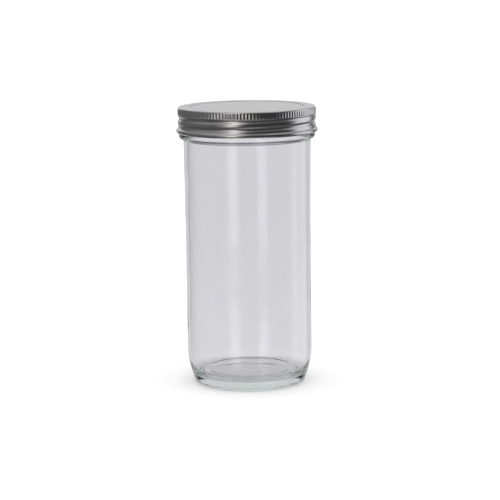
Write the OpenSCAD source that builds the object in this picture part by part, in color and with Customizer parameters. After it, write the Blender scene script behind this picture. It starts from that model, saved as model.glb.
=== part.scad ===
// Wide-mouth preserving jar with a two-piece metal closure.
// Origin: centre of the foot ring on the table, +Z up, front of the jar towards -Y.

/* [Glass body] */
// Height of the sealing rim above the table
glass_h = 176; // [140:1:220]
// Outside radius of the straight body just above the heel
body_r = 39.95; // [39.5:0.05:40.4]
// Radius the body gains between the heel and the neck bead
body_flare = 0.5; // [0:0.05:0.6]
// Inside radius of the body and the mouth
mouth_r = 37.5; // [36.8:0.1:38]
// Height of the rounded heel
heel_h = 22; // [16:1:30]
// Radius lost in the heel between the body and the foot
heel_drop = 5.3; // [3:0.1:6]
// Exponent of the heel curve
heel_curve = 1.78; // [1.4:0.02:2.4]
// Rounding between the heel and the foot ring
foot_round = 2.2; // [1:0.1:2.6]
// Width of the foot ring that touches the table
foot_w = 2.4; // [1.5:0.1:4]
// Height of the push-up under the base
push_up = 1.2; // [0.8:0.1:2.6]
// Height of the middle of the inside floor above the table
floor_h = 8.4; // [7.4:0.2:10]
// Radius of the raised middle of the floor
floor_r = 27.4; // [24:0.2:28.4]
// How much the floor dishes down from its edge to its middle
floor_dish = 0.4; // [0:0.1:0.8]
// Radius of the lowest part of the channel round the floor
channel_r = 31.5; // [31:0.1:32.2]
// Height of the lowest part of that channel
channel_h = 6.2; // [5.2:0.2:7.2]
// Height of the rounded corner between the channel and the wall
corner_h = 16.8; // [10:0.4:20]

/* [Glass finish] */
// Radius of the neck below and above the thread
neck_r = 41.7; // [41.4:0.05:41.9]
// Radius over the bead below the band
bead_r = 43.35; // [42.9:0.05:43.6]
// Rounding of the bead
bead_round = 2; // [1.6:0.1:2.2]
// Distance from the sealing rim down to the middle of the bead
bead_drop = 16.7; // [16.2:0.1:19]
// Height of the sloping neck between the body and the bead
neck_slope = 3.4; // [2.4:0.1:5]
// Rounding of the sealing rim
rim_round = 1.6; // [1:0.1:1.8]
// Radius over the glass thread
thread_r = 43; // [42.85:0.05:43.1]

/* [Screw thread] */
// Rise in one full turn of the thread
pitch = 5.08; // [4.6:0.01:5.3]
// Half width of the glass thread at its root
thread_half = 1.35; // [1:0.05:1.5]
// Axial distance from the band thread up to the glass thread
thread_lead = 1.7; // [1.6:0.05:1.9]
// Height of the band thread at the right-hand side, below the sealing rim
groove_drop = 8.1; // [7.8:0.1:8.6]

/* [Lid disc] */
// Thickness of the tinplate
sheet = 0.26; // [0.2:0.01:0.3]
// Outside radius of the disc
disc_r = 42.7; // [42.4:0.05:42.8]
// Radius where the middle panel steps down to the rim channel
panel_r = 35.7; // [32:0.1:35.7]
// Height of the middle panel above the rim channel
panel_rise = 0.2; // [0.1:0.02:0.28]
// Height of the turned-down edge
edge_h = 1.1; // [0.9:0.05:1.3]

/* [Sealing compound] */
// Thickness of the sealing ring
seal_t = 0.85; // [0.6:0.05:1]
// Inner radius of the sealing ring
seal_in = 38.4; // [38.2:0.1:38.8]
// Outer radius of the sealing ring
seal_out = 41.7; // [41:0.1:41.8]

/* [Screw band] */
// Outside radius of the band
band_r = 43.9; // [43.85:0.05:44.3]
// Radius of the opening in the top of the band
opening_r = 36; // [36:0.1:37]
// Rounding of the shoulder
shoulder = 1.2; // [0.9:0.1:1.5]
// Number of flutes around the band
flutes = 132; // [90:1:150]
// Depth of the flutes
flute_depth = 0.3; // [0.15:0.01:0.32]
// Height of the fluted zone
flute_h = 3.2; // [2.4:0.1:3.4]
// Depth of the pressed thread
groove_depth = 0.8; // [0.7:0.05:0.95]
// Half width of the pressed thread at the skirt
groove_half = 2.1; // [1.6:0.05:2.2]
// Distance the rolled hem stands out from the skirt
hem_out = 1.15; // [0.9:0.05:1.4]
// Radius of the rolled hem
hem_r = 1.5; // [1.3:0.05:1.7]
// Distance from the top of the band down to the bottom of the hem
band_h = 16.4; // [16:0.1:16.8]

/* [Colours] */
// Colour of the glass
glass_colour = [0.82, 0.86, 0.86, 0.35];
// Colour of the lid disc
disc_colour = [0.74, 0.74, 0.76];
// Colour of the sealing compound
seal_colour = [0.72, 0.70, 0.66];
// Colour of the screw band
band_colour = [0.66, 0.66, 0.68];

/* [Hidden] */
$fn = 120;
gap = 0.05;                                 // running gap between touching faces
cut = 1;                                    // how far a cutter passes a surface
arc_steps = 8;                              // steps in one small arc
turn_step = 6;                              // degrees between sections of a thread
seal_z = glass_h + gap;
channel_z = seal_z + seal_t + sheet;        // top of the rim channel of the disc
band_top = channel_z + gap + sheet;
band_bottom = band_top - band_h;
skirt_in = band_r - sheet;
heel_top_r = body_r;
floor_edge = floor_h + floor_dish;
neck_low = glass_h - bead_drop - neck_slope;
bead_c = [bead_r - bead_round, glass_h - bead_drop];
flute_top = band_top - shoulder;
flute_low = flute_top - flute_h;
groove_z = glass_h - groove_drop;           // height of the band thread at azimuth 0
hem_c = [band_r + hem_out - hem_r, band_bottom + hem_r];
flare = 1;                                  // radius of the hollow above the hem
flare_c = [band_r + flare, hem_c[1] + sqrt(pow(flare + hem_r, 2) - pow(flare - hem_out + hem_r, 2))];
flare_a = atan2(flare_c[1] - hem_c[1], flare_c[0] - hem_c[0]);
tuck_r = 0.42;                              // radius where the hem turns up inside
tuck_a = -70;
tuck_c = hem_c + (hem_r - tuck_r) * [cos(tuck_a), sin(tuck_a)];
tuck_h = 0.9;                               // height of the leg tucked up inside the hem
ledge = 0.28;                               // ledge that closes the ends of the flutes
flute_in = 0.04;                            // flutes stand this far inside the band radius
embed = 0.14;                               // how far the glass thread is rooted in the neck
skirt_rows = 20;                            // rows of sections down the straight skirt
press_first = -240;                         // azimuths between which the thread is pressed
press_last = 400;
press_ramp_low = 110;                       // degrees over which it fades in and out
press_ramp_high = 130;
press_fade = 1;                             // height over which it fades at both edges of the skirt

function arc(c, r, a0, a1, n = arc_steps) =
    [for (i = [0 : n]) c + r * [cos(a0 + (a1 - a0) * i / n), sin(a0 + (a1 - a0) * i / n)]];
function unit(v) = v / norm(v);
function heading(p, i) = unit(p[min(i + 1, len(p) - 1)] - p[max(i - 1, 0)]);
function beside(p, t) =
    [for (i = [0 : len(p) - 1]) let (d = heading(p, i)) p[i] + t * [d[1], -d[0]]];
function backwards(p) = [for (i = [len(p) - 1 : -1 : 0]) p[i]];
function sheet_section(p, t) = concat(p, backwards(beside(p, t)));
function smooth(x) = x * x * (3 - 2 * x);
function clamp(x) = min(1, max(0, x));
function runout(a, first, last, ramp_in, ramp_out) =
    smooth(clamp((a - first) / ramp_in)) * smooth(clamp((last - a) / ramp_out));
function heel_r(z) = heel_top_r - heel_drop * pow(1 - z / heel_h, heel_curve);

// A rounded ridge that climbs on a helix and fades out at both ends.
// section holds [share of the way from root to crest, share of the half width].
module ridge(root_r, crest_r, half, z0, first, last, ramp) {
    section = [[0, -1], [0.62, -0.72], [1, -0.3], [1, 0.3], [0.62, 0.72], [0, 1]];
    n = len(section);
    steps = ceil((last - first) / turn_step);
    points = [for (i = [0 : steps], s = section)
        let (a = first + (last - first) * i / steps,
             w = runout(a, first, last, ramp, ramp),
             r = root_r + (crest_r - root_r) * s[0] * (0.02 + 0.98 * w),
             z = z0 + pitch * a / 360 + s[1] * half * (0.4 + 0.6 * w))
        [r * cos(a), r * sin(a), z]];
    sides = [for (i = [0 : steps - 1], j = [0 : n - 1], k = [0, 1])
        let (a = i * n + j, b = i * n + (j + 1) % n, c = a + n, d = b + n)
        k == 0 ? [a, b, c] : [b, d, c]];
    caps = [for (j = [1 : n - 2], k = [0, 1])
        k == 0 ? [0, j + 1, j] : [steps * n, steps * n + j, steps * n + j + 1]];
    polyhedron(points = points, faces = concat(sides, caps), convexity = 8);
}

// Outline of the glass, from the push-up round the outside to the rim.
function glass_outside() = concat(
    [[0, push_up], [foot_in() - 2 * push_up, push_up], [foot_in() - push_up / 2, push_up / 3]],
    [[foot_in(), 0]],
    arc([heel_r(foot_round) - foot_round, foot_round], foot_round, -90, -12),
    [for (i = [0 : 14]) let (z = foot_round + (heel_h - foot_round) * i / 14) [heel_r(z), z]],
    [[body_r, neck_low - 50], [body_r + body_flare, neck_low]],
    [[body_r + body_flare + neck_slope / 7, neck_low + neck_slope / 3]],
    arc(bead_c, bead_round, -48, acos((neck_r - bead_c[0]) / bead_round)),
    arc([neck_r - rim_round, glass_h - rim_round], rim_round, 0, 90));

function foot_in() = heel_r(foot_round) - foot_round - foot_w;

// Outline of the hollow: dished floor, channel round it, tall rounded corner, wall, rim.
function hollow_outline() = concat(
    [for (i = [0 : 4]) [floor_r * i / 4, floor_h + floor_dish * pow(i / 4, 2)]],
    [for (i = [1 : arc_steps - 1]) let (t = i / arc_steps)
        [floor_r + (channel_r - floor_r) * t, floor_edge + (channel_h - floor_edge) * smooth(t)]],
    [for (i = [0 : 2 * arc_steps]) let (a = 90 * i / (2 * arc_steps))
        [channel_r + (mouth_r - channel_r) * sin(a), channel_h + corner_h * (1 - cos(a))]],
    backwards(arc([mouth_r + rim_round, glass_h - rim_round], rim_round, 90, 180)),
    [[mouth_r + rim_round, glass_h + cut], [0, glass_h + cut]]);

module jar() {
    color(glass_colour) {
        difference() {
            rotate_extrude() polygon(concat(glass_outside(), [[0, glass_h]]));
            rotate_extrude() polygon(hollow_outline());
        }
        ridge(neck_r - embed, thread_r, thread_half, groove_z + thread_lead, -185, 265, 30);
    }
}

module lid_disc() {
    top = concat(
        [[0, channel_z + panel_rise], [panel_r - 0.5, channel_z + panel_rise]],
        [[panel_r - 0.25, channel_z + panel_rise * 0.9], [panel_r + 0.05, channel_z + panel_rise * 0.1]],
        [[panel_r + 0.3, channel_z]],
        arc([disc_r - 0.8, channel_z - 0.8], 0.8, 90, 0),
        [[disc_r, channel_z - edge_h]]);
    color(disc_colour) rotate_extrude() polygon(sheet_section(top, sheet));
}

module seal_ring() {
    round_r = seal_t / 3;
    color(seal_colour) rotate_extrude() polygon(concat(
        [[seal_in, seal_z + seal_t]],
        arc([seal_in + round_r, seal_z + round_r], round_r, 180, 270),
        arc([seal_out - round_r, seal_z + round_r], round_r, 270, 360),
        [[seal_out, seal_z + seal_t]]));
}

// Wavy outline of the fluted zone, crests at radius r.
module flute_outline(r) {
    polygon([for (i = [0 : flutes - 1], q = [0 : 3])
        let (a = (i + q / 4) * 360 / flutes, d = [0, 0.5, 1, 0.5][q] * flute_depth)
        (r - d) * [cos(a), sin(a)]]);
}

// How far the pressed thread pushes the skirt in at azimuth a and height z.
function press(a, z) = let (
    w = [for (t = [a - 360, a, a + 360])
        runout(t, press_first, press_last, press_ramp_low, press_ramp_high) *
        bump((z - groove_z - pitch * t / 360) / groove_half)],
    edges = smooth(clamp((flute_low - ledge - z) / press_fade)) *
            smooth(clamp((z - flare_c[1] + press_fade) / press_fade)))
    groove_depth * max(w) * edges;
function bump(x) = abs(x) < 1 ? pow(cos(90 * x), 2) : 0;

// The skirt and hem, one closed ring of sections with the thread pressed into it.
module skirt() {
    straight_top = flute_low - ledge / 2;
    outer = concat(
        [for (i = [0 : skirt_rows - 1]) [band_r, straight_top + (flare_c[1] - straight_top) * i / skirt_rows]],
        arc(flare_c, flare, 180, 180 + flare_a, arc_steps / 2),
        arc(hem_c, hem_r, flare_a - 10, tuck_a, arc_steps),
        arc(tuck_c, tuck_r, tuck_a - 30, -180, arc_steps / 2),
        [tuck_c + [-tuck_r, tuck_h]]);
    section = sheet_section(outer, sheet);
    n = len(section);
    steps = 360 / turn_step;
    points = [for (i = [0 : steps - 1], s = section)
        let (a = i * turn_step, r = s[0] - press(a, s[1]))
        [r * cos(a), r * sin(a), s[1]]];
    faces = [for (i = [0 : steps - 1], j = [0 : n - 1], k = [0, 1])
        let (a = i * n + j, b = i * n + (j + 1) % n, m = (i + 1) % steps, c = m * n + j, d = m * n + (j + 1) % n)
        k == 0 ? [a, c, b] : [b, c, d]];
    polyhedron(points = points, faces = faces, convexity = 8);
}

module screw_band() {
    top = concat([[opening_r, band_top]],
        arc([band_r - shoulder, band_top - shoulder], shoulder, 90, 0));
    ledge_in = skirt_in - flute_depth - flute_in / 2;
    ledge_out = band_r + flute_in;
    color(band_colour) {
        rotate_extrude() polygon(sheet_section(top, sheet));
        for (z = [flute_low - ledge, flute_top - ledge / 2])
            translate([0, 0, z]) rotate_extrude()
                polygon([[ledge_in, 0], [ledge_out, 0], [ledge_out, ledge], [ledge_in, ledge]]);
        translate([0, 0, flute_low - ledge / 2]) linear_extrude(flute_h + ledge / 2)
            difference() {
                flute_outline(band_r - flute_in);
                flute_outline(skirt_in - flute_in);
            }
        skirt();
    }
}

jar();
lid_disc();
seal_ring();
screw_band();
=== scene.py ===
"""Looks for the wide-mouth preserving jar: moulded glass, lid disc, sealing compound and screw band."""
import math

import bmesh
import bpy
import numpy as np
from mathutils import Matrix, Vector


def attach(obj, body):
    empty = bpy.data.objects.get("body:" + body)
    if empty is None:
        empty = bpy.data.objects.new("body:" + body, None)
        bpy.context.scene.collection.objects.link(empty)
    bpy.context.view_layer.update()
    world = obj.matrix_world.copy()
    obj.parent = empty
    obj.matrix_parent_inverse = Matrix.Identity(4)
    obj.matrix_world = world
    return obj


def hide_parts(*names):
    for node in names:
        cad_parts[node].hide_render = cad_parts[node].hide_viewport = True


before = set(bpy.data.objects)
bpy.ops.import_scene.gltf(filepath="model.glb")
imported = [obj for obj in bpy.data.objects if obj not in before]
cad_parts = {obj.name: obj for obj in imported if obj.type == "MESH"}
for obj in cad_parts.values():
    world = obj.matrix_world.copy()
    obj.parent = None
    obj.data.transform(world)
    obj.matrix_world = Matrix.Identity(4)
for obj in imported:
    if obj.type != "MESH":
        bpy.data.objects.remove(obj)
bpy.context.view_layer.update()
MM = 0.001

# ---------------------------------------------------------------- sizes, in mm
# as in the CAD, except for the depth of the flutes (0.3 there), the width of the slope round the push-up
# (2.4 there) and the foot of the neck, which is rounded here
GLASS_H = 176.0
BODY_R, BODY_FLARE, FLARE_H = 39.95, 0.5, 50
MOUTH_R, RIM_ROUND = 37.5, 1.6
HEEL_H, HEEL_DROP, HEEL_CURVE = 22.0, 5.3, 1.78
FOOT_ROUND, FOOT_W = 2.2, 2.4
PUSH_UP, PUSH_W, PUSH_EDGE = 1.2, 3.6, 0.04
FLOOR_H, FLAT_R, DOME = 8.4, 27.4, -0.4
TROUGH_R, TROUGH_H = 31.5, 6.2
CORNER_TOP = 23.0
NECK_R, NECK_FILLET = 41.7, 0.6
BEAD_R, BEAD_ROUND = 43.35, 2.0
BEAD_Z = GLASS_H - 16.7
NECK_LOW = BEAD_Z - 3.4
THREAD_R, THREAD_HALF, THREAD_LEAD = 43.0, 1.35, 1.7
PITCH = 5.08
GROOVE_Z = GLASS_H - 8.1
SHEET = 0.26
BAND_TOP, BAND_H = 177.47, 16.4
BAND_R, OPENING_R, SHOULDER = 43.9, 36.0, 1.2
FLUTES, FLUTE_DEPTH, FLUTE_H = 132, 0.2, 3.2
FLUTE_TOP = BAND_TOP - SHOULDER
FLUTE_LOW = FLUTE_TOP - FLUTE_H
GROOVE_DEPTH, GROOVE_HALF = 0.8, 2.1
# where each thread starts and stops round the helix, and its run-in and run-out, in degrees
GLASS_RUN = (-185, 265, (30, 30))
BAND_RUN = (-240, 400, (110, 130))
HEM_R, HEM_OUT = 1.5, 1.15
HEM_C = (BAND_R + HEM_OUT - HEM_R, BAND_TOP - BAND_H + HEM_R)
FLARE = 1.0
FLARE_C = (BAND_R + FLARE, HEM_C[1] + math.sqrt((FLARE + HEM_R) ** 2 - (FLARE + HEM_R - HEM_OUT) ** 2))
FLARE_A = math.degrees(math.atan2(FLARE_C[1] - HEM_C[1], FLARE_C[0] - HEM_C[0]))
TUCK_R, TUCK_A, TUCK_LIP = 0.42, -70.0, 0.9
SEAL_Z = GLASS_H + 0.05
SEAL_T = 0.85
CHANNEL_Z = SEAL_Z + SEAL_T + SHEET
DISC_R, PANEL_R, PANEL_RISE = 42.7, 35.7, 0.2
EDGE_ROUND, EDGE_H = 0.8, 1.1
SEAL_IN, SEAL_OUT, SEAL_ROUND = 38.4, 41.7, 0.28

# ---------------------------------------------------------------- unevenness, in mm
# each wave is (waves round the jar, height of one wave); each list is followed by its strength
WALL_WAVES, WALL_WAVE = [(3, 90), (5, 60), (7, 45), (2, 130), (9, 38), (4, 27)], 0.05
GOB_WAVES, GOB_WAVE = [(2, 150), (3, 80), (4, 55), (5, 120), (6, 42), (8, 33)], 0.16
DENTS, DENT = [(2, 60), (3, 40), (5, 25), (7, 30)], 0.05
FLANGE_WAVES, FLANGE_WAVE = [(2, 400), (3, 400), (5, 400)], 0.03
PANEL_WAVES, PANEL_WAVE = [(1, 60), (2, 45), (3, 80)], 0.03
# the inside floor: faint rings, a slight tilt and one small pip
RING, RING_W = 0.03, 8.5
TILT, TILT_TURN = 0.06, 0.6
PIP_X, PIP_Y, PIP_H, PIP_SPREAD = 5.5, -13.0, 0.3, 5.0


# ---------------------------------------------------------------- outline helpers
def arc(c, r, a0, a1, n):
    a = np.radians(np.linspace(a0, a1, n + 1))
    return [(c[0] + r * math.cos(t), c[1] + r * math.sin(t)) for t in a]


def line(p, q, n):
    return [(p[0] + (q[0] - p[0]) * i / n, p[1] + (q[1] - p[1]) * i / n) for i in range(n + 1)]


def chain(*parts):
    """One outline from several, without repeated points where they meet."""
    out = []
    for part in parts:
        for p in part:
            if not out or math.hypot(p[0] - out[-1][0], p[1] - out[-1][1]) > 1e-4:
                out.append((float(p[0]), float(p[1])))
    return np.array(out)


def beside(path, t):
    """The outline at a distance t from a path."""
    d = np.gradient(path, axis=0)
    d /= np.linalg.norm(d, axis=1)[:, None]
    return path + t * np.column_stack([d[:, 1], -d[:, 0]])


def smoothstep(x):
    x = np.clip(x, 0, 1)
    return x * x * (3 - 2 * x)


def waves(seed, theta, z, periods, amplitude):
    """Slow uneven waves over a turned surface, the same on each run."""
    rng = np.random.default_rng(seed)
    total = 0
    for k, height in periods:
        a, b = rng.uniform(0, 2 * math.pi, 2)
        w = rng.uniform(0.6, 1.0)
        total = total + w * np.cos(k * theta + a) * np.cos(2 * math.pi * z / height + b)
    return amplitude * total / len(periods)


def turned(name, profile, columns, shift=None):
    """A mesh turned about Z. profile is rows of (r, z) in mm; a row at r = 0 is a pole."""
    theta = np.arange(columns) * 2 * math.pi / columns
    r = np.tile(profile[:, 0], (columns, 1))
    z = np.tile(profile[:, 1], (columns, 1))
    if shift is not None:
        dr, dz = shift(theta[:, None], r, z)
        r, z = r + dr, z + dz
    poles = [i for i in (0, len(profile) - 1) if profile[i, 0] < 1e-6]
    rows = [i for i in range(len(profile)) if i not in poles]
    x, y = r * np.cos(theta)[:, None], r * np.sin(theta)[:, None]
    verts = np.stack([x[:, rows], y[:, rows], z[:, rows]], axis=2).reshape(-1, 3)
    n = len(rows)
    faces = []
    for i in range(columns):
        a, b = i * n, ((i + 1) % columns) * n
        for j in range(n - 1):
            faces.append((a + j, a + j + 1, b + j + 1, b + j))
        if not poles:
            faces.append((a + n - 1, a, b, b + n - 1))
    extra = []
    for p in poles:
        k = len(verts) + len(extra)
        extra.append((0.0, 0.0, float(profile[p, 1])))
        j = 0 if p == 0 else n - 1
        for i in range(columns):
            a, b = i * n + j, ((i + 1) % columns) * n + j
            faces.append((k, a, b) if p == 0 else (k, b, a))
    verts = np.vstack([verts, np.array(extra).reshape(-1, 3)]) * MM
    mesh = bpy.data.meshes.new(name)
    mesh.from_pydata(verts.tolist(), [], faces)
    mesh.update()
    mesh.validate()
    mesh.shade_smooth()
    obj = bpy.data.objects.new(name, mesh)
    bpy.context.scene.collection.objects.link(obj)
    # faces point outwards
    bm = bmesh.new()
    bm.from_mesh(mesh)
    bmesh.ops.recalc_face_normals(bm, faces=bm.faces)
    bm.to_mesh(mesh)
    bm.free()
    return obj


# ---------------------------------------------------------------- the screw thread
def runout(a, run):
    first, last, ramps = run
    return smoothstep((a - first) / ramps[0]) * smoothstep((last - a) / ramps[1])


def helix_bump(theta, z, z0, half, run):
    """Height, 0 to 1, of a rounded ridge on the right-hand helix, at each point of a turned surface."""
    deg = np.degrees(theta)
    best = np.zeros(np.broadcast(theta, z).shape)
    for turn in (-360.0, 0.0, 360.0):
        a = deg + turn
        x = (z - z0 - PITCH * a / 360) / half
        b = np.where(np.abs(x) < 1, np.cos(np.clip(x, -1, 1) * math.pi / 2) ** 2, 0)
        best = np.maximum(best, b * runout(a, run))
    return best


# ---------------------------------------------------------------- glass jar
def heel_r(z):
    return BODY_R - HEEL_DROP * (1 - z / HEEL_H) ** HEEL_CURVE


def build_jar():
    foot_out = heel_r(FOOT_ROUND) - FOOT_ROUND
    foot_in = foot_out - FOOT_W
    flat = foot_in - PUSH_W
    neck_foot = BODY_R + BODY_FLARE
    underside = [(0, PUSH_UP)] + line((3, PUSH_UP), (flat, PUSH_UP), 12)
    underside += [(r, PUSH_EDGE + (PUSH_UP - PUSH_EDGE) * smoothstep((foot_in - r) / PUSH_W))
                  for r in np.linspace(flat, foot_in, 12)][1:]
    outside = chain(
        underside,
        line((foot_in + 0.4, 0.0), (foot_out, 0.0), 4),
        arc((foot_out, FOOT_ROUND), FOOT_ROUND, -90, -14, 10),
        [(heel_r(z), z) for z in np.linspace(FOOT_ROUND - 0.3, HEEL_H, 24)],
        line((BODY_R, HEEL_H + 1), (BODY_R, NECK_LOW - FLARE_H), 28),
        line((BODY_R, NECK_LOW - FLARE_H), (neck_foot, NECK_LOW - 0.2), 24),
        arc((neck_foot + NECK_FILLET, NECK_LOW + 0.4), NECK_FILLET, 180, 125, 8),
        arc((BEAD_R - BEAD_ROUND, BEAD_Z), BEAD_ROUND, -48, 78, 22),
        line((NECK_R, BEAD_Z + 2.05), (NECK_R, GLASS_H - RIM_ROUND), 60),
        arc((NECK_R - RIM_ROUND, GLASS_H - RIM_ROUND), RIM_ROUND, 0, 90, 10),
    )
    inside = chain(
        arc((MOUTH_R + RIM_ROUND, GLASS_H - RIM_ROUND), RIM_ROUND, 90, 180, 10),
        line((MOUTH_R, GLASS_H - RIM_ROUND - 1), (MOUTH_R, CORNER_TOP), 70),
        [(TROUGH_R + (MOUTH_R - TROUGH_R) * math.cos(t),
          CORNER_TOP - (CORNER_TOP - TROUGH_H) * math.sin(t))
         for t in np.linspace(0, math.pi / 2, 30)],
        [(r, TROUGH_H + (FLOOR_H - DOME - TROUGH_H) * smoothstep((TROUGH_R - r) / (TROUGH_R - FLAT_R)))
         for r in np.linspace(TROUGH_R, FLAT_R, 14)],
        [(r, FLOOR_H - DOME * (r / FLAT_R) ** 2) for r in np.linspace(FLAT_R, 0.6, 40)],
        [(0, FLOOR_H)],
    )
    profile = chain(outside, inside)
    split = len(outside)

    def shift(theta, r, z):
        row = np.arange(r.shape[1])[None, :]
        outer = (row < split) * 1.0
        ridge = helix_bump(theta, z, GROOVE_Z + THREAD_LEAD, THREAD_HALF, GLASS_RUN)
        neck = outer * (z > BEAD_Z + 2.2) * (z < GLASS_H - 1)
        dr = ridge * (THREAD_R - NECK_R) * neck
        body = smoothstep((z - 6) / 16) * smoothstep((NECK_LOW + 2 - z) / 10)
        wall = outer * waves(3, theta, z, WALL_WAVES, WALL_WAVE)
        dr += wall * body
        inner = (1 - outer) * (r > 30)
        gob = waves(11, theta, z, GOB_WAVES, GOB_WAVE)
        dr += inner * gob * smoothstep((z - 16) / 30) * smoothstep((GLASS_H - 4 - z) / 14)
        floor = (1 - outer) * (z < FLOOR_H + 6) * (r > 0.5)
        rings = RING * np.cos(2 * math.pi * r / RING_W) * smoothstep((r - 3) / 8) * smoothstep((26 - r) / 6)
        tilt = TILT * np.sin(theta + TILT_TURN) * smoothstep(r / 30) * smoothstep((34 - r) / 8)
        pip_x, pip_y = r * np.cos(theta) - PIP_X, r * np.sin(theta) - PIP_Y
        pip = PIP_H * np.exp(-(pip_x ** 2 + pip_y ** 2) / PIP_SPREAD)
        return dr, floor * (rings + tilt + pip)

    return turned("glass_jar", profile, 320, shift)


# ---------------------------------------------------------------- screw band
def band_outside():
    lip = SHEET / 2
    tuck = math.radians(TUCK_A)
    tuck_r = HEM_C[0] + (HEM_R - TUCK_R) * math.cos(tuck)
    tuck_z = HEM_C[1] + (HEM_R - TUCK_R) * math.sin(tuck)
    return chain(
        arc((OPENING_R + 0.12, BAND_TOP - lip), lip, 180, 90, 3),
        line((OPENING_R + 0.5, BAND_TOP), (BAND_R - SHOULDER, BAND_TOP), 8),
        arc((BAND_R - SHOULDER, FLUTE_TOP), SHOULDER, 90, 0, 10),
        line((BAND_R, FLUTE_TOP), (BAND_R, FLUTE_LOW - 0.4), 22),
        line((BAND_R, FLUTE_LOW - 0.4), (BAND_R, FLARE_C[1]), 44),
        arc(FLARE_C, FLARE, 180, 180 + FLARE_A, 6),
        arc(HEM_C, HEM_R, FLARE_A, TUCK_A, 18),
        arc((tuck_r, tuck_z), TUCK_R, TUCK_A, -180, 7),
        [(tuck_r - TUCK_R, tuck_z + TUCK_LIP)],
    )


def build_band():
    outer = band_outside()
    inner = beside(outer, SHEET)[3:][::-1]
    thin = [i for i in range(len(inner)) if i % 2 == 0 or i == len(inner) - 1]
    profile = chain(outer, inner[thin])

    def shift(theta, r, z):
        press = GROOVE_DEPTH * helix_bump(theta, z, GROOVE_Z, GROOVE_HALF, BAND_RUN)
        press = press * smoothstep(z - FLARE_C[1] + 1) * smoothstep(FLUTE_LOW - 0.1 - z)
        wall = smoothstep((r - (BAND_R - SHEET - 0.5)) / 0.3)
        zone = smoothstep((z - FLUTE_LOW + 0.12) / 0.4) * smoothstep((FLUTE_TOP + 0.75 - z) / 0.9)
        # punched a little deeper at the lower ends
        punch = 1 + 0.5 * np.exp(-((z - FLUTE_LOW - 0.35) / 0.35) ** 2)
        flute = FLUTE_DEPTH * (0.5 - 0.5 * np.cos(FLUTES * theta)) ** 0.8 * zone * wall * punch
        dent = waves(21, theta, z, DENTS, DENT) * smoothstep((r - 42) / 1.5)
        dr = -press - flute + dent * smoothstep((FLUTE_TOP - z) / 2)
        dz = waves(5, theta, z, FLANGE_WAVES, FLANGE_WAVE) * (r < BAND_R - SHOULDER + 0.3)
        return dr, dz

    return turned("screw_band_shell", profile, FLUTES * 8, shift)


# ---------------------------------------------------------------- lid disc and sealing compound
def build_disc():
    high = CHANNEL_Z + PANEL_RISE
    top = chain(
        [(0, high)],
        line((1, high), (PANEL_R - 0.5, high), 44),
        [(PANEL_R - 0.38, high - 0.005), (PANEL_R - 0.25, high - 0.02), (PANEL_R - 0.1, high - 0.1),
         (PANEL_R + 0.05, CHANNEL_Z + 0.02)],
        line((PANEL_R + 0.3, CHANNEL_Z), (DISC_R - EDGE_ROUND, CHANNEL_Z), 6),
        arc((DISC_R - EDGE_ROUND, CHANNEL_Z - EDGE_ROUND), EDGE_ROUND, 90, 0, 8),
        [(DISC_R, CHANNEL_Z - EDGE_H)],
    )
    under = beside(top, SHEET)
    under[0, 0] = 0
    profile = chain(top, under[::-1])

    def shift(theta, r, z):
        dz = waves(8, theta, r, PANEL_WAVES, PANEL_WAVE) * smoothstep((PANEL_R - r) / 8)
        return np.zeros_like(r), dz * (r > 0)

    return turned("lid_disc_sheet", profile, 256, shift)


def build_seal():
    top, low = SEAL_Z + SEAL_T, SEAL_Z + SEAL_ROUND
    profile = chain(
        line((SEAL_IN, top), (SEAL_IN, low), 3),
        arc((SEAL_IN + SEAL_ROUND, low), SEAL_ROUND, 180, 270, 5),
        line((SEAL_IN + SEAL_ROUND + 0.2, SEAL_Z), (SEAL_OUT - SEAL_ROUND - 0.2, SEAL_Z), 6),
        arc((SEAL_OUT - SEAL_ROUND, low), SEAL_ROUND, 270, 360, 5),
        line((SEAL_OUT, low), (SEAL_OUT, top), 3),
        line((SEAL_OUT - 0.3, top), (SEAL_IN + 0.3, top), 4),
    )
    return turned("sealing_compound", profile, 192)


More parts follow.
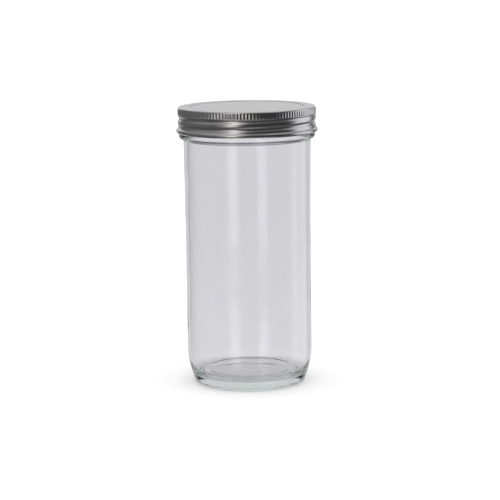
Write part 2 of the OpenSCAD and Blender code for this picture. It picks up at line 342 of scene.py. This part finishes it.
# ---------------------------------------------------------------- materials
class Nodes:
    """The node tree of a new material or world."""

    def __init__(self, name, world=False):
        if world:
            self.owner = bpy.data.worlds.new(name)
        else:
            self.owner = bpy.data.materials.new(name)
        self.owner.use_nodes = True
        self.tree = self.owner.node_tree
        self.tree.nodes.clear()

    def add(self, kind):
        return self.tree.nodes.new(kind)

    def link(self, a, b):
        self.tree.links.new(a, b)

    def noise(self, vector, scale, detail, rough):
        n = self.add("ShaderNodeTexNoise")
        n.inputs["Scale"].default_value = scale
        n.inputs["Detail"].default_value = detail
        n.inputs["Roughness"].default_value = rough
        self.link(vector, n.inputs["Vector"])
        return n.outputs["Fac"]

    def mapped(self, vector, scale):
        m = self.add("ShaderNodeMapping")
        m.inputs["Scale"].default_value = scale
        self.link(vector, m.inputs["Vector"])
        return m.outputs["Vector"]

    def ramp(self, value, low, high, a, b, smooth=False):
        m = self.add("ShaderNodeMapRange")
        m.interpolation_type = "SMOOTHSTEP" if smooth else "LINEAR"
        for i, v in enumerate((low, high, a, b)):
            m.inputs[i + 1].default_value = v
        self.link(value, m.inputs["Value"])
        return m.outputs["Result"]

    def rise(self, value, low, high):
        return self.ramp(value, low, high, 0, 1, True)

    def fall(self, value, low, high):
        return self.ramp(value, low, high, 1, 0, True)

    def math(self, op, a, b=None):
        m = self.add("ShaderNodeMath")
        m.operation = op
        for i, v in enumerate((a, b)):
            if v is None:
                continue
            if isinstance(v, (int, float)):
                m.inputs[i].default_value = v
            else:
                self.link(v, m.inputs[i])
        return m.outputs[0]

    def times(self, a, b):
        return self.math("MULTIPLY", a, b)

    def plus(self, a, b):
        return self.math("ADD", a, b)

    def mix(self, fac, a, b):
        m = self.add("ShaderNodeMix")
        m.data_type = "RGBA"
        self.link(fac, m.inputs["Factor"])
        for name, colour in (("A", a), ("B", b)):
            [s for s in m.inputs if s.name == name and s.type == "RGBA"][0].default_value = colour
        return [s for s in m.outputs if s.type == "RGBA"][0]


def glass_material():
    m = Nodes("moulded_glass")
    coord = m.add("ShaderNodeTexCoord").outputs["Object"]
    bsdf = m.add("ShaderNodeBsdfPrincipled")
    bsdf.inputs["Base Color"].default_value = (0.952, 0.943, 0.972, 1)
    bsdf.inputs["Transmission Weight"].default_value = 1.0
    bsdf.inputs["IOR"].default_value = 1.52
    smear = m.noise(m.mapped(coord, (30, 30, 12)), 1.0, 4.0, 0.6)
    m.link(m.ramp(smear, 0.35, 0.8, 0.0, 0.035), bsdf.inputs["Roughness"])
    bump = m.add("ShaderNodeBump")
    bump.inputs["Strength"].default_value = 0.12
    bump.inputs["Distance"].default_value = 0.0004
    m.link(m.noise(m.mapped(coord, (90, 90, 45)), 1.0, 2.0, 0.5), bump.inputs["Height"])
    m.link(bump.outputs["Normal"], bsdf.inputs["Normal"])
    volume = m.add("ShaderNodeVolumeAbsorption")
    volume.inputs["Color"].default_value = (0.70, 0.86, 0.82, 1)
    volume.inputs["Density"].default_value = 7.0
    out = m.add("ShaderNodeOutputMaterial")
    m.link(bsdf.outputs[0], out.inputs["Surface"])
    m.link(volume.outputs[0], out.inputs["Volume"])
    return m.owner


def tinplate_material(name, colour, grain_scale, rough, grain):
    """Rolled tinplate: fine streaks, worn patches and small marks."""
    m = Nodes(name)
    coord = m.add("ShaderNodeTexCoord").outputs["Object"]
    bsdf = m.add("ShaderNodeBsdfPrincipled")
    bsdf.inputs["Metallic"].default_value = 1.0
    streaks = m.noise(m.mapped(coord, grain_scale), 1.0, 6.0, 0.65)
    patches = m.noise(coord, 55.0, 4.0, 0.6)
    marks = m.noise(coord, 420.0, 5.0, 0.6)
    tone = m.plus(m.times(streaks, 0.55), m.times(patches, 0.45))
    dark = tuple(c * 0.90 for c in colour) + (1,)
    light = tuple(c * 1.06 for c in colour) + (1,)
    m.link(m.mix(m.ramp(tone, 0.35, 0.65, 0, 1), dark, light), bsdf.inputs["Base Color"])
    wear = m.plus(m.times(patches, 0.6), m.times(marks, 0.4))
    m.link(m.ramp(wear, 0.3, 0.7, rough[0], rough[1]), bsdf.inputs["Roughness"])
    bump = m.add("ShaderNodeBump")
    bump.inputs["Strength"].default_value = grain
    bump.inputs["Distance"].default_value = 0.0001
    m.link(m.plus(streaks, m.times(marks, 0.5)), bump.inputs["Height"])
    m.link(bump.outputs["Normal"], bsdf.inputs["Normal"])
    out = m.add("ShaderNodeOutputMaterial")
    m.link(bsdf.outputs[0], out.inputs["Surface"])
    return m.owner


def compound_material():
    m = Nodes("sealing_compound")
    coord = m.add("ShaderNodeTexCoord").outputs["Object"]
    bsdf = m.add("ShaderNodeBsdfPrincipled")
    mottle = m.noise(coord, 300.0, 3.0, 0.6)
    m.link(m.mix(mottle, (0.21, 0.19, 0.16, 1), (0.28, 0.26, 0.22, 1)), bsdf.inputs["Base Color"])
    m.link(m.ramp(mottle, 0.3, 0.7, 0.5, 0.65), bsdf.inputs["Roughness"])
    out = m.add("ShaderNodeOutputMaterial")
    m.link(bsdf.outputs[0], out.inputs["Surface"])
    return m.owner


# ---------------------------------------------------------------- build
glass = glass_material()
band_metal = tinplate_material("band_tinplate", (0.55, 0.545, 0.56), (60, 60, 1500), (0.18, 0.26), 0.015)
disc_metal = tinplate_material("disc_tinplate", (0.525, 0.52, 0.545), (40, 900, 40), (0.18, 0.24), 0.01)
compound = compound_material()

for obj, body, node, material in (
    (build_jar(), "jar", "jar", glass),
    (build_disc(), "lid", "lid_disc", disc_metal),
    (build_seal(), "lid", "seal_ring", compound),
    (build_band(), "band", "screw_band", band_metal),
):
    obj.data.materials.append(material)
    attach(obj, body)
    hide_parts(node)

# ---------------------------------------------------------------- floor, in m
TABLE_R, ROOM_R = 0.45, 14.0
# painted shade: a glowing disc under the jar that only rays bent by the glass see, standing in for the
# table in the jar's shadow, darker in the middle
SHADE_R, SHADE_DROP = 0.056, 0.0003
SHADE, SHADE_EDGE = 0.50, 0.72


def floor_disc(name, r_in, r_out, columns=128, glow=None):
    """A flat disc, or a ring where r_in is above 0: matt white, or glowing with painted shade where glow is
    given.
    """
    a = np.linspace(0, 2 * math.pi, columns, endpoint=False)
    radii = [r_in, r_out] if r_in > 0 else [r_out]
    verts = [(r * math.cos(t), r * math.sin(t), 0.0) for r in radii for t in a]
    if r_in > 0:
        faces = [(i, columns + i, columns + (i + 1) % columns, (i + 1) % columns) for i in range(columns)]
    else:
        faces = [tuple(range(columns))]
    mesh = bpy.data.meshes.new(name)
    mesh.from_pydata(verts, [], faces)
    mesh.update()
    obj = bpy.data.objects.new(name, mesh)
    bpy.context.scene.collection.objects.link(obj)
    m = Nodes(name)
    if glow is None:
        bsdf = m.add("ShaderNodeBsdfDiffuse")
        bsdf.inputs["Color"].default_value = (0.90, 0.90, 0.905, 1)
    else:
        reach = m.add("ShaderNodeVectorMath")
        reach.operation = "LENGTH"
        m.link(m.add("ShaderNodeTexCoord").outputs["Object"], reach.inputs[0])
        bsdf = m.add("ShaderNodeEmission")
        bsdf.inputs["Color"].default_value = (1.0, 1.0, 0.965, 1)
        m.link(m.ramp(reach.outputs["Value"], r_out * 0.6, r_out, *glow, True), bsdf.inputs["Strength"])
    out = m.add("ShaderNodeOutputMaterial")
    m.link(bsdf.outputs[0], out.inputs["Surface"])
    mesh.materials.append(m.owner)
    return obj


near = floor_disc("table_near", 0, TABLE_R)
# painted shade: this disc glows dimmer in the middle to stand in for the jar's shadow on the table
shade = floor_disc("painted_table_shade", 0, SHADE_R, glow=(SHADE, SHADE_EDGE))
shade.location.z = -SHADE_DROP
shade.visible_camera = shade.visible_diffuse = shade.visible_glossy = shade.visible_shadow = False
far = floor_disc("table_far", TABLE_R, ROOM_R)
for table in (near, far):
    table.visible_glossy = False
    table.visible_transmission = False

# ---------------------------------------------------------------- light
# Apart from that disc, all the light is in the world. It is not the same for every ray: the camera and matt
# surfaces, mirror-like surfaces, and rays bent by the glass each have their own.
# Azimuths are in degrees from the front of the jar (-Y), positive to the right (+X). Heights are the z of a
# direction, from -1 straight down to 1 straight up. Four edges are where a light starts, is full, starts to
# fade and ends.
WHITE = 1.45
BACK_EDGES, BACK_HEIGHTS, BACK_LEVELS = (143, 154), (-0.06, 0.06), (0.45, 0.72)
RIGHT_EDGES, RIGHT_LEVEL = (76, 98, 124, 142), 1.05
LEFT_EDGES, LEFT_LEVEL = (-152, -140, -62, -50), 0.12
WALL_TOP = (0.35, 0.75)
HAZE_EDGES, HAZE_LEVEL = (-62, -40, -14, -6), 0.3
WINDOW_EDGES, WINDOW_LEVEL, WINDOW_TOP = (-38, -29, -22, -13), 1.0, (0.7, 0.95)
WINDOW_THROUGH_EDGES, WINDOW_THROUGH_LEVEL = (-45, -33, -25, -15), 1.5
CEILING_HEIGHTS, CEILING_LEVEL = (0.3, 0.65), 0.28
OVERHEAD_HEIGHTS, OVERHEAD_LEVEL = (0.7, 0.95), 0.55
DARK_EDGES, DARK_SHARE = (-12, 6, 70, 88), 0.75
TABLE_HEIGHTS, TABLE_LEVEL = (-0.5, -0.32), 0.07
NADIR_HEIGHTS, NADIR_BACK_HEIGHTS, NADIR_LEVEL = (-0.97, -0.88), (-0.5, -0.3), 1.4
AMBIENT = 0.05
BACKDROP, BACKDROP_LOW, BACKDROP_LOW_HEIGHTS = 0.735, 0.07, (-0.25, -0.13)
FRONT_EDGES, FRONT_DIM = (60, 100), 0.1
RIGHT_SIDE_EDGES, RIGHT_DIM = (95, 115, 140, 156), 0.06
LEFT_SIDE_EDGES, LEFT_DIM = (-150, -144, -126, -110), 0.3
SIDE_HEIGHTS = (0.12, 0.30)
WARM_GREEN, WARM_BLUE = 0.05, 0.10


def studio_world():
    w = Nodes("studio", world=True)
    direction = w.add("ShaderNodeTexCoord").outputs["Generated"]
    xyz = w.add("ShaderNodeSeparateXYZ")
    w.link(direction, xyz.inputs[0])
    x, y, z = xyz.outputs
    path = w.add("ShaderNodeLightPath").outputs
    refracted = path["Is Transmission Ray"]
    azimuth = w.times(w.math("ARCTAN2", x, w.times(y, -1.0)), 180 / math.pi)
    away = w.math("ABSOLUTE", azimuth)

    def lobe(rise0, rise1, fall0, fall1):
        return w.times(w.rise(azimuth, rise0, rise1), w.fall(azimuth, fall0, fall1))

    back = w.rise(away, *BACK_EDGES)
    haze = lobe(*HAZE_EDGES)
    window_top = w.fall(z, *WINDOW_TOP)
    # the window has a dark gap low down, and is a little dimmer below it
    rows = w.plus(w.ramp(z, -0.172, -0.15, 0.25, 1, True), w.ramp(z, -0.20, -0.188, 0.6, 0, True))

    # what mirror-like surfaces see: light behind and to the right, a tall window front left, a dark room, a
    # pale ceiling that is darker front right, and a table that is white straight below and at the back
    mirrored = w.times(back, w.ramp(z, *BACK_HEIGHTS, *BACK_LEVELS, True))
    mirrored = w.plus(mirrored, w.times(lobe(*RIGHT_EDGES), RIGHT_LEVEL))
    mirrored = w.plus(mirrored, w.times(lobe(*LEFT_EDGES), LEFT_LEVEL))
    mirrored = w.times(mirrored, w.fall(z, *WALL_TOP))
    window = w.plus(w.times(haze, HAZE_LEVEL), w.times(w.times(lobe(*WINDOW_EDGES), rows), WINDOW_LEVEL))
    mirrored = w.plus(mirrored, w.times(window, window_top))
    mirrored = w.times(mirrored, w.rise(z, *TABLE_HEIGHTS))
    high = w.plus(w.times(w.rise(z, *CEILING_HEIGHTS), CEILING_LEVEL),
                  w.times(w.rise(z, *OVERHEAD_HEIGHTS), OVERHEAD_LEVEL))
    high = w.times(high, w.math("SUBTRACT", 1.0, w.times(lobe(*DARK_EDGES), DARK_SHARE)))
    nadir = w.math("MAXIMUM", w.fall(z, *NADIR_HEIGHTS), w.times(back, w.fall(z, *NADIR_BACK_HEIGHTS)))
    below = w.plus(w.times(w.fall(z, *TABLE_HEIGHTS), TABLE_LEVEL), w.times(nadir, NADIR_LEVEL))
    mirrored = w.plus(w.plus(mirrored, w.plus(high, below)), AMBIENT)

    # what is seen through the glass: an even grey backdrop, lighter low down and dimmer in front of the jar
    through = w.plus(BACKDROP, w.times(w.fall(z, *BACKDROP_LOW_HEIGHTS), BACKDROP_LOW))
    through = w.math("SUBTRACT", through, w.times(w.fall(away, *FRONT_EDGES), FRONT_DIM))
    sides = w.math("SUBTRACT", w.times(lobe(*RIGHT_SIDE_EDGES), -RIGHT_DIM),
                   w.times(lobe(*LEFT_SIDE_EDGES), LEFT_DIM))
    through = w.plus(through, w.times(sides, w.fall(w.math("ABSOLUTE", z), *SIDE_HEIGHTS)))
    window = w.times(w.times(lobe(*WINDOW_THROUGH_EDGES), rows), WINDOW_THROUGH_LEVEL)
    through = w.plus(through, w.times(window, window_top))

    # the camera and matt surfaces see plain white
    seen = w.add("ShaderNodeMix")
    seen.data_type = "FLOAT"
    w.link(refracted, seen.inputs[0])
    w.link(mirrored, seen.inputs[2])
    w.link(through, seen.inputs[3])
    plain = w.add("ShaderNodeMix")
    plain.data_type = "FLOAT"
    direct = w.math("MAXIMUM", path["Is Camera Ray"], w.math("GREATER_THAN", path["Diffuse Depth"], 0.5))
    w.link(direct, plain.inputs[0])
    w.link(seen.outputs[0], plain.inputs[2])
    plain.inputs[3].default_value = WHITE

    # the haze beside the window is a little warm, in reflections only
    warm = w.times(haze, w.math("SUBTRACT", 1.0, refracted))
    tint = w.add("ShaderNodeCombineColor")
    tint.inputs[0].default_value = 1.0
    w.link(w.math("SUBTRACT", 1.0, w.times(warm, WARM_GREEN)), tint.inputs[1])
    w.link(w.math("SUBTRACT", 1.0, w.times(warm, WARM_BLUE)), tint.inputs[2])
    light = w.add("ShaderNodeBackground")
    w.link(tint.outputs[0], light.inputs["Color"])
    w.link(plain.outputs[0], light.inputs["Strength"])
    out = w.add("ShaderNodeOutputWorld")
    w.link(light.outputs[0], out.inputs["Surface"])
    return w.owner


scene = bpy.context.scene
scene.world = studio_world()
scene.view_settings.view_transform = "Standard"
scene.view_settings.look = "None"
# enough bounces for the light in the thick base
scene.cycles.max_bounces = 32
scene.cycles.glossy_bounces = 16
scene.cycles.transmission_bounces = 24

# ---------------------------------------------------------------- camera, in m and degrees
LENS, SENSOR = 148.9, 36.0
CAMERA_AT = (0.00097, -1.309, 0.299)
CAMERA_PITCH, CAMERA_ROLL = 9.29, 0.75

cam_data = bpy.data.cameras.new("camera")
cam_data.lens = LENS
cam_data.sensor_width = SENSOR
cam_data.clip_start, cam_data.clip_end = 0.05, 60.0
cam = bpy.data.objects.new("camera", cam_data)
scene.collection.objects.link(cam)
pitch, roll = math.radians(CAMERA_PITCH), math.radians(CAMERA_ROLL)
cam.location = CAMERA_AT
cam.rotation_mode = "QUATERNION"
aim = Vector((0, math.cos(pitch), -math.sin(pitch)))
turn = aim.to_track_quat("-Z", "Y").to_matrix() @ Matrix.Rotation(-roll, 3, "Z")
cam.rotation_quaternion = turn.to_quaternion()
scene.camera = cam
